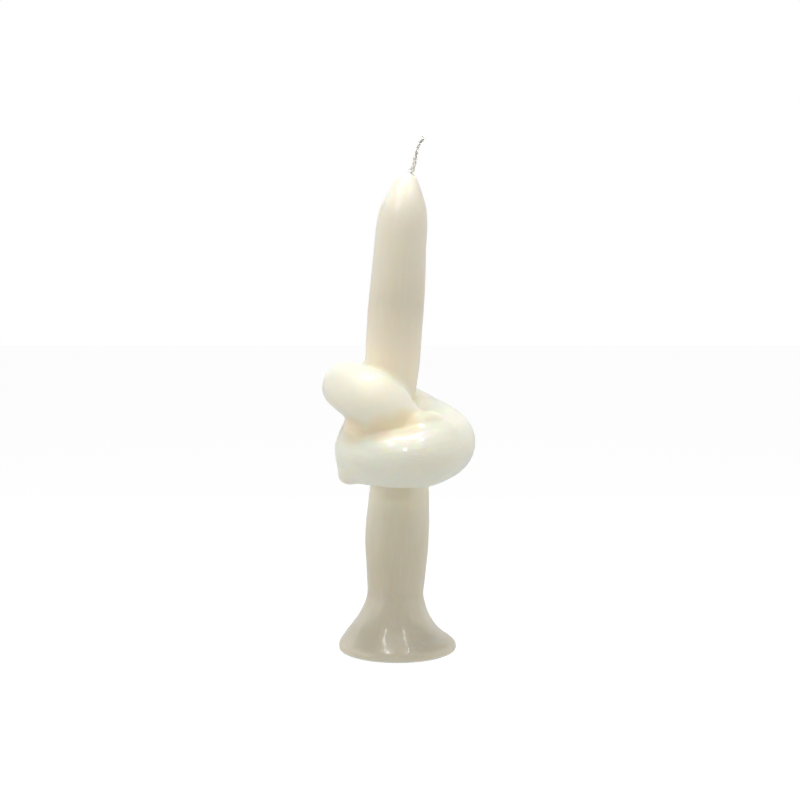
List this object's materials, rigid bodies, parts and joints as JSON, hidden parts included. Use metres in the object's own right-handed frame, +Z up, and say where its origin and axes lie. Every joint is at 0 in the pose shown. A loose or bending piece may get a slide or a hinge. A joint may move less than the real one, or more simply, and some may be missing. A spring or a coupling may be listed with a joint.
{
  "type": "knotted taper candle",
  "caption": "Hand-dipped ivory taper candle tied in one overhand knot, standing on a pressed flared foot, with a short plaited wick.",
  "frame": {"origin": "middle of the flat underside of the foot", "axes": "+Z up along the candle to its tip; X across the knot's widest side, with the upper loop on -X and the wide loop on +X; the last turn of the knot crosses the lower shaft on the -Y side"},
  "size_m": [0.0641, 0.0615, 0.2173],
  "materials": {
    "skin_wax": "hard ivory over-dip wax, smooth and semi-gloss, slightly translucent",
    "core_wax": "softer built-up dips of cream wax, matte where the foot is cut flat",
    "wick_cotton": "bleached plaited cotton, lightly waxed"
  },
  "bodies": {
    "root": {"overdip_skin": "skin_wax", "wax_core": "core_wax", "wick_strand_1": "wick_cotton", "wick_strand_2": "wick_cotton", "wick_strand_3": "wick_cotton"}
  },
  "joints": []
}
